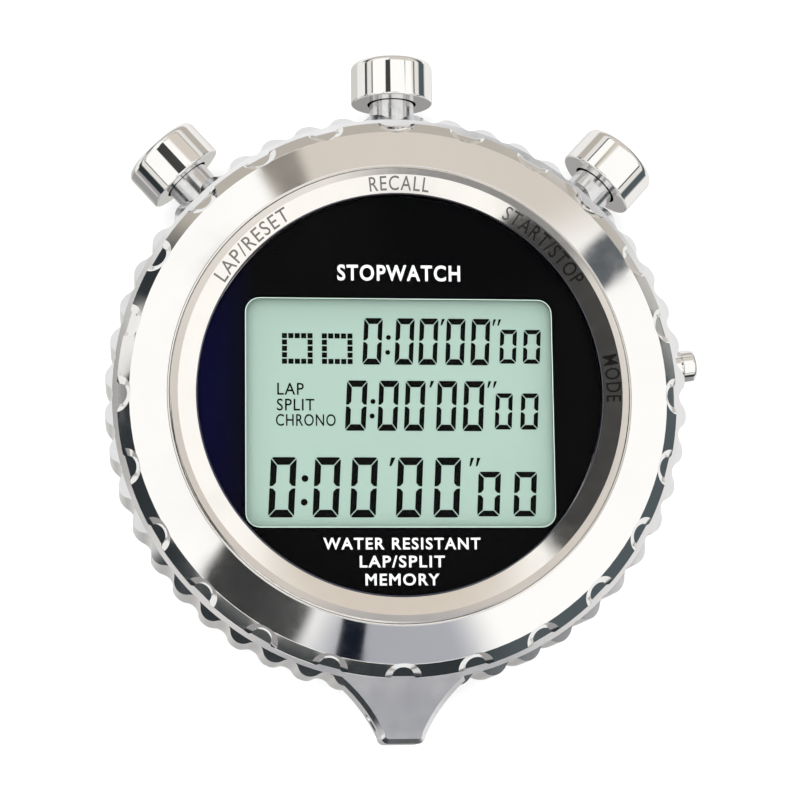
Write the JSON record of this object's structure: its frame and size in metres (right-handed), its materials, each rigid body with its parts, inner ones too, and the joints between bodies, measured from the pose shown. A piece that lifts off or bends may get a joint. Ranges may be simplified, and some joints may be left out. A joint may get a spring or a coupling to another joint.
{
  "type": "digital stopwatch",
  "caption": "Handheld digital stopwatch: round fluted chrome case, liquid crystal display behind a black-rimmed crystal, sprung push buttons around the top and a tapered lanyard lug.",
  "frame": {"origin": "middle of the back cover's outer face, which the stopwatch lies on", "axes": "+Z out of the display, +Y along the centre pusher away from the case, +X to the right when the display is read"},
  "size_m": [0.066, 0.0764, 0.0206],
  "materials": {
    "polished_chrome": "mirror polished",
    "case_chrome": "polished",
    "satin_steel": "satin",
    "tube_steel": "turned",
    "screw_steel": "polished",
    "crystal_glass": "polished",
    "display_glass": "polished",
    "polariser_film": "satin",
    "reflector_film": "satin",
    "black_print": "gloss",
    "seal_rubber": "matte",
    "contact_rubber": "matte",
    "module_plastic": "matte",
    "board_laminate": "satin",
    "potting_resin": "gloss",
    "can_metal": "drawn",
    "capacitor_body": "matte",
    "cell_steel": "satin",
    "spring_steel": "polished",
    "insulator_film": "translucent film",
    "sounder_brass": "rolled",
    "ceramic": "silvered"
  },
  "bodies": {
    "case": {"back_cover": "satin_steel", "back_gasket": "seal_rubber", "back_screw_1": "screw_steel", "back_screw_2": "screw_steel", "back_screw_3": "screw_steel", "back_screw_4": "screw_steel", "battery_clip": "spring_steel", "battery_contact": "spring_steel", "battery_insulator": "insulator_film", "case_middle": "case_chrome", "circuit_board": "board_laminate", "coin_cell": "cell_steel", "contact_strip_lower": "contact_rubber", "contact_strip_upper": "contact_rubber", "controller_potting": "potting_resin", "crystal": "crystal_glass", "crystal_gasket": "seal_rubber", "dial_mask": "black_print", "front_bezel": "polished_chrome", "label_ring": "satin_steel", "lap_reset_spring": "spring_steel", "lap_reset_switch_leaf": "spring_steel", "lap_reset_tube": "tube_steel", "lcd_front_glass": "display_glass", "lcd_polariser": "polariser_film", "lcd_rear_glass": "display_glass", "lcd_reflector": "reflector_film", "mode_spring": "spring_steel", "mode_switch_leaf": "spring_steel", "mode_tube": "tube_steel", "module_frame_front": "module_plastic", "module_frame_rear": "module_plastic", "module_screw_1": "screw_steel", "module_screw_2": "screw_steel", "quartz_can": "can_metal", "recall_spring": "spring_steel", "recall_switch_leaf": "spring_steel", "recall_tube": "tube_steel", "smd_capacitor": "capacitor_body", "sounder_ceramic": "ceramic", "sounder_plate": "sounder_brass", "sounder_spring_1": "spring_steel", "sounder_spring_2": "spring_steel", "start_stop_spring": "spring_steel", "start_stop_switch_leaf": "spring_steel", "start_stop_tube": "tube_steel"},
    "start_stop_pusher": {"start_stop_cap": "polished_chrome", "start_stop_seal": "seal_rubber", "start_stop_retainer": "spring_steel"},
    "recall_pusher": {"recall_cap": "polished_chrome", "recall_seal": "seal_rubber", "recall_retainer": "spring_steel"},
    "lap_reset_pusher": {"lap_reset_cap": "polished_chrome", "lap_reset_seal": "seal_rubber", "lap_reset_retainer": "spring_steel"},
    "mode_pusher": {"mode_cap": "polished_chrome", "mode_seal": "seal_rubber", "mode_retainer": "spring_steel"}
  },
  "joints": [
    {"name": "start_stop_press", "type": "slide", "parent": "case", "child": "start_stop_pusher", "axis": [-0.6756, -0.7373, 0], "range_m": [0, 0.0015], "stiffness_N_per_m": 1500, "springref_m": -0.001, "deforming": ["start_stop_spring"]},
    {"name": "recall_press", "type": "slide", "parent": "case", "child": "recall_pusher", "axis": [0, -1, 0], "range_m": [0, 0.0015], "stiffness_N_per_m": 1500, "springref_m": -0.001, "deforming": ["recall_spring"]},
    {"name": "lap_reset_press", "type": "slide", "parent": "case", "child": "lap_reset_pusher", "axis": [0.6756, -0.7373, 0], "range_m": [0, 0.0015], "stiffness_N_per_m": 1500, "springref_m": -0.001, "deforming": ["lap_reset_spring"]},
    {"name": "mode_press", "type": "slide", "parent": "case", "child": "mode_pusher", "axis": [-0.9914, -0.1305, 0], "range_m": [0, 0.0009], "stiffness_N_per_m": 1200, "springref_m": -0.0008, "deforming": ["mode_spring"]}
  ]
}
